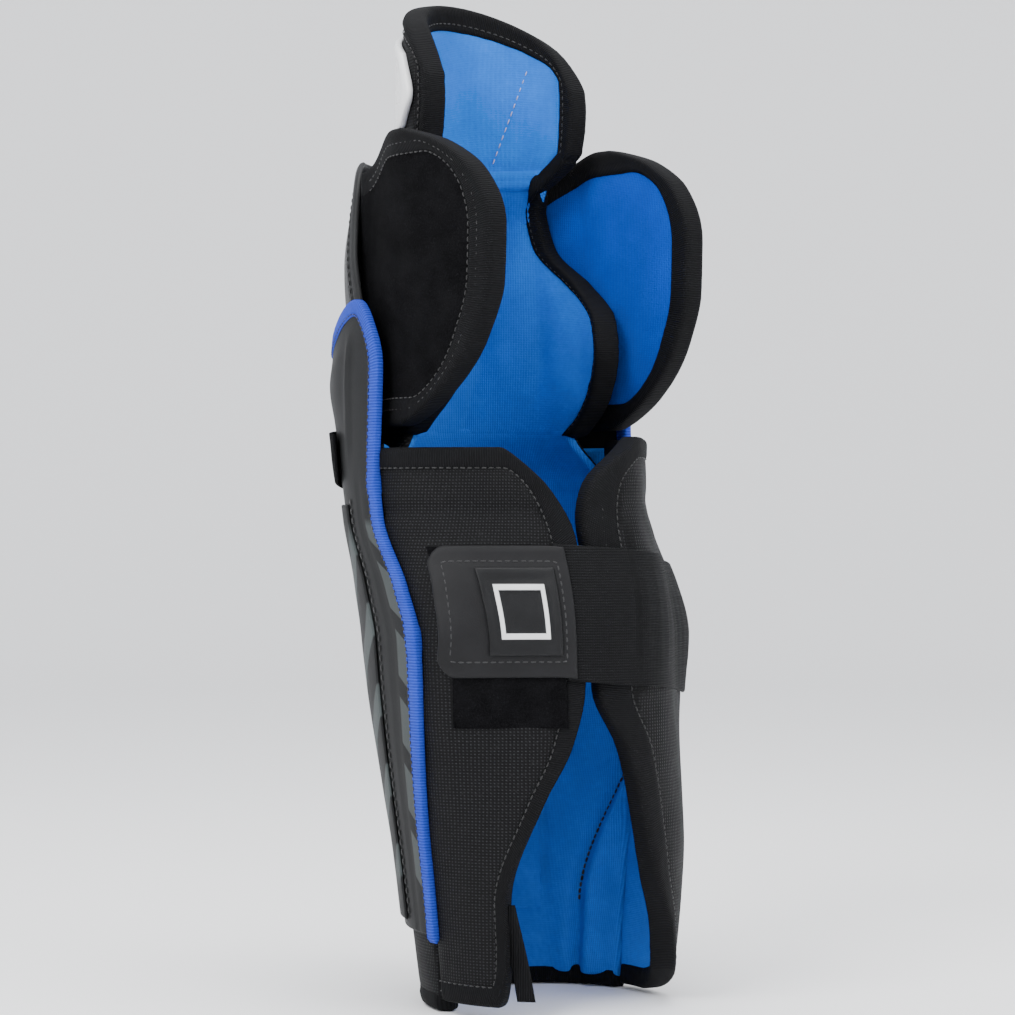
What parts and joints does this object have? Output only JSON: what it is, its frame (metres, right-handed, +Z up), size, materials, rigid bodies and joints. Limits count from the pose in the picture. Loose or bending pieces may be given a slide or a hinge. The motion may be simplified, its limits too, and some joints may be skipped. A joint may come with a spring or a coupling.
{
  "type": "ice hockey leg guard",
  "caption": "Ice hockey player's leg guard with a hard shin shell, knee cup, padded liner, knee and calf wings, thigh flap and one calf strap.",
  "frame": {"origin": "centre of the footprint, at the lowest hem", "axes": "+Z up along the leg, -Y towards the shin shell's front, +X towards the side whose wing carries the pull tab's landing"},
  "size_m": [0.1862, 0.2108, 0.526],
  "materials": {
    "shell_plastic": "satin moulded",
    "panel_plastic": "satin, with grey bands",
    "blue_tape": "ribbed grosgrain",
    "loop_fabric": "fuzzy loop pile",
    "foam": "closed-cell foam",
    "blue_knit": "brushed knit",
    "black_binding": "ribbed binding",
    "black_nylon": "woven nylon",
    "thigh_white": "smooth gloss",
    "elastic": "woven elastic",
    "tab_rubber": "soft moulded",
    "badge_rubber": "moulded relief"
  },
  "bodies": {
    "guard": {"calf_panel_far": "black_nylon", "calf_panel_near": "black_nylon", "edge_tape_far": "blue_tape", "edge_tape_near": "blue_tape", "edge_tape_top": "blue_tape", "front_band": "loop_fabric", "front_panel": "panel_plastic", "knee_binding_far": "black_binding", "knee_binding_near": "black_binding", "knee_cup_pad": "foam", "knee_foam": "foam", "knee_lining": "blue_knit", "knee_side_panel_far": "black_nylon", "knee_side_panel_near": "black_nylon", "shell_hook_patch_far": "loop_fabric", "shell_hook_patch_near": "loop_fabric", "shin_foam": "foam", "shin_hem": "black_binding", "shin_lining": "blue_knit", "shin_rib_far": "foam", "shin_rib_middle": "foam", "shin_rib_near": "foam", "shin_shell": "shell_plastic"},
    "thigh_flap": {"thigh_binding": "black_binding", "thigh_foam": "foam", "thigh_lining": "blue_knit", "thigh_plate": "thigh_white"},
    "knee_plate": {"upper_knee_plate": "shell_plastic", "upper_knee_pad": "foam"},
    "knee_wing_near": {"knee_wing_binding_near": "black_binding", "knee_wing_cover_near": "black_nylon", "knee_wing_foam_near": "foam", "knee_wing_lining_near": "blue_knit"},
    "knee_wing_far": {"knee_wing_binding_far": "black_binding", "knee_wing_cover_far": "black_nylon", "knee_wing_foam_far": "foam", "knee_wing_lining_far": "blue_knit"},
    "calf_wing_near": {"calf_wing_binding_near": "black_binding", "calf_wing_cover_near": "black_nylon", "calf_wing_foam_near": "foam", "calf_wing_lining_near": "blue_knit"},
    "calf_wing_far": {"calf_wing_binding_far": "black_binding", "calf_wing_cover_far": "black_nylon", "calf_wing_foam_far": "foam", "calf_wing_lining_far": "blue_knit"},
    "strap": {"calf_strap": "elastic", "strap_tab": "tab_rubber", "tab_hook_patch": "loop_fabric", "tab_badge": "badge_rubber"}
  },
  "joints": [
    {"name": "thigh_flex", "type": "hinge", "parent": "guard", "child": "thigh_flap", "pos_m": [0, -0.0251, 0.424], "axis": [-1, 0, 0], "range_deg": [-10, 32]},
    {"name": "knee_plate_slide", "type": "slide", "parent": "guard", "child": "knee_plate", "axis": [0, 0, 1], "range_m": [-0.0031, 0.0099]},
    {"name": "knee_wing_near_flex", "type": "hinge", "parent": "guard", "child": "knee_wing_near", "pos_m": [0.078, 0.0079, 0.373], "axis": [0, 0, -1], "range_deg": [-4, 35]},
    {"name": "knee_wing_far_flex", "type": "hinge", "parent": "guard", "child": "knee_wing_far", "pos_m": [-0.078, 0.0079, 0.373], "axis": [0, 0, 1], "range_deg": [-4, 35]},
    {"name": "calf_wing_near_open", "type": "hinge", "parent": "guard", "child": "calf_wing_near", "pos_m": [0.087, 0.0469, 0.15], "axis": [0, 0, -1], "range_deg": [0, 35]},
    {"name": "calf_wing_far_open", "type": "hinge", "parent": "guard", "child": "calf_wing_far", "pos_m": [-0.081, 0.0469, 0.15], "axis": [0, 0, 1], "range_deg": [0, 35]},
    {"name": "strap_open", "type": "hinge", "parent": "calf_wing_far", "child": "strap", "pos_m": [-0.081, 0.0529, 0.19], "axis": [0, 0, 1], "range_deg": [0, 60]}
  ],
  "couplings": [
    {"joint": "knee_plate_slide", "follows": "thigh_flex", "m_per_rad": 0.01755},
    {"joint": "calf_wing_near_open", "follows": "strap_open", "ratio": 0.55},
    {"joint": "calf_wing_far_open", "follows": "strap_open", "ratio": 0.55}
  ]
}
